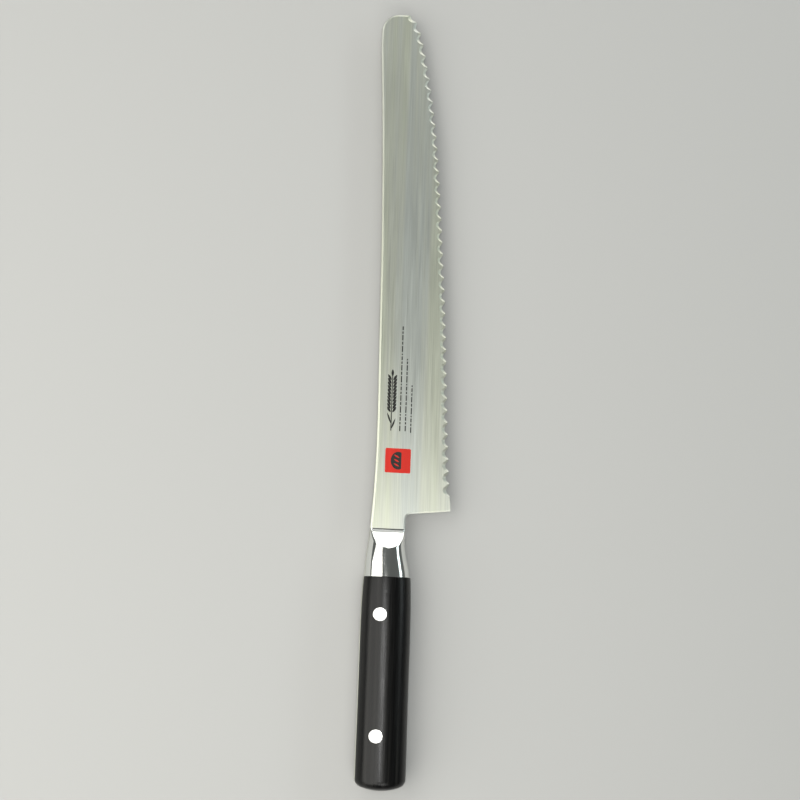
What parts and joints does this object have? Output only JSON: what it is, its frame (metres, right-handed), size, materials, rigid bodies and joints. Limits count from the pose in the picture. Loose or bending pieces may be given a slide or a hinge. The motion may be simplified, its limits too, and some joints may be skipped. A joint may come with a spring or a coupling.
{
  "type": "bread knife",
  "caption": "Serrated bread knife with a blunt rounded tip, polished bolster and riveted black wood handle, lying on its left side.",
  "frame": {"origin": "middle of the bounding box, on the surface that the knife lies on", "axes": "+X along the handle to the blade's tip, +Y to the spine, +Z out of the blade's right face"},
  "size_m": [0.3812, 0.0422, 0.0202],
  "materials": {
    "satin_steel": "satin, ground along the blade",
    "polished_steel": "mirror polish",
    "laminated_wood": "resin-filled black laminate, satin",
    "rivet_steel": "polished flush with the handle"
  },
  "bodies": {
    "root": {"blade": "satin_steel", "bolster_right": "polished_steel", "bolster_left": "polished_steel", "handle": "laminated_wood", "front_rivet_stem": "rivet_steel", "front_rivet_tube": "rivet_steel", "rear_rivet_stem": "rivet_steel", "rear_rivet_tube": "rivet_steel"}
  },
  "joints": []
}
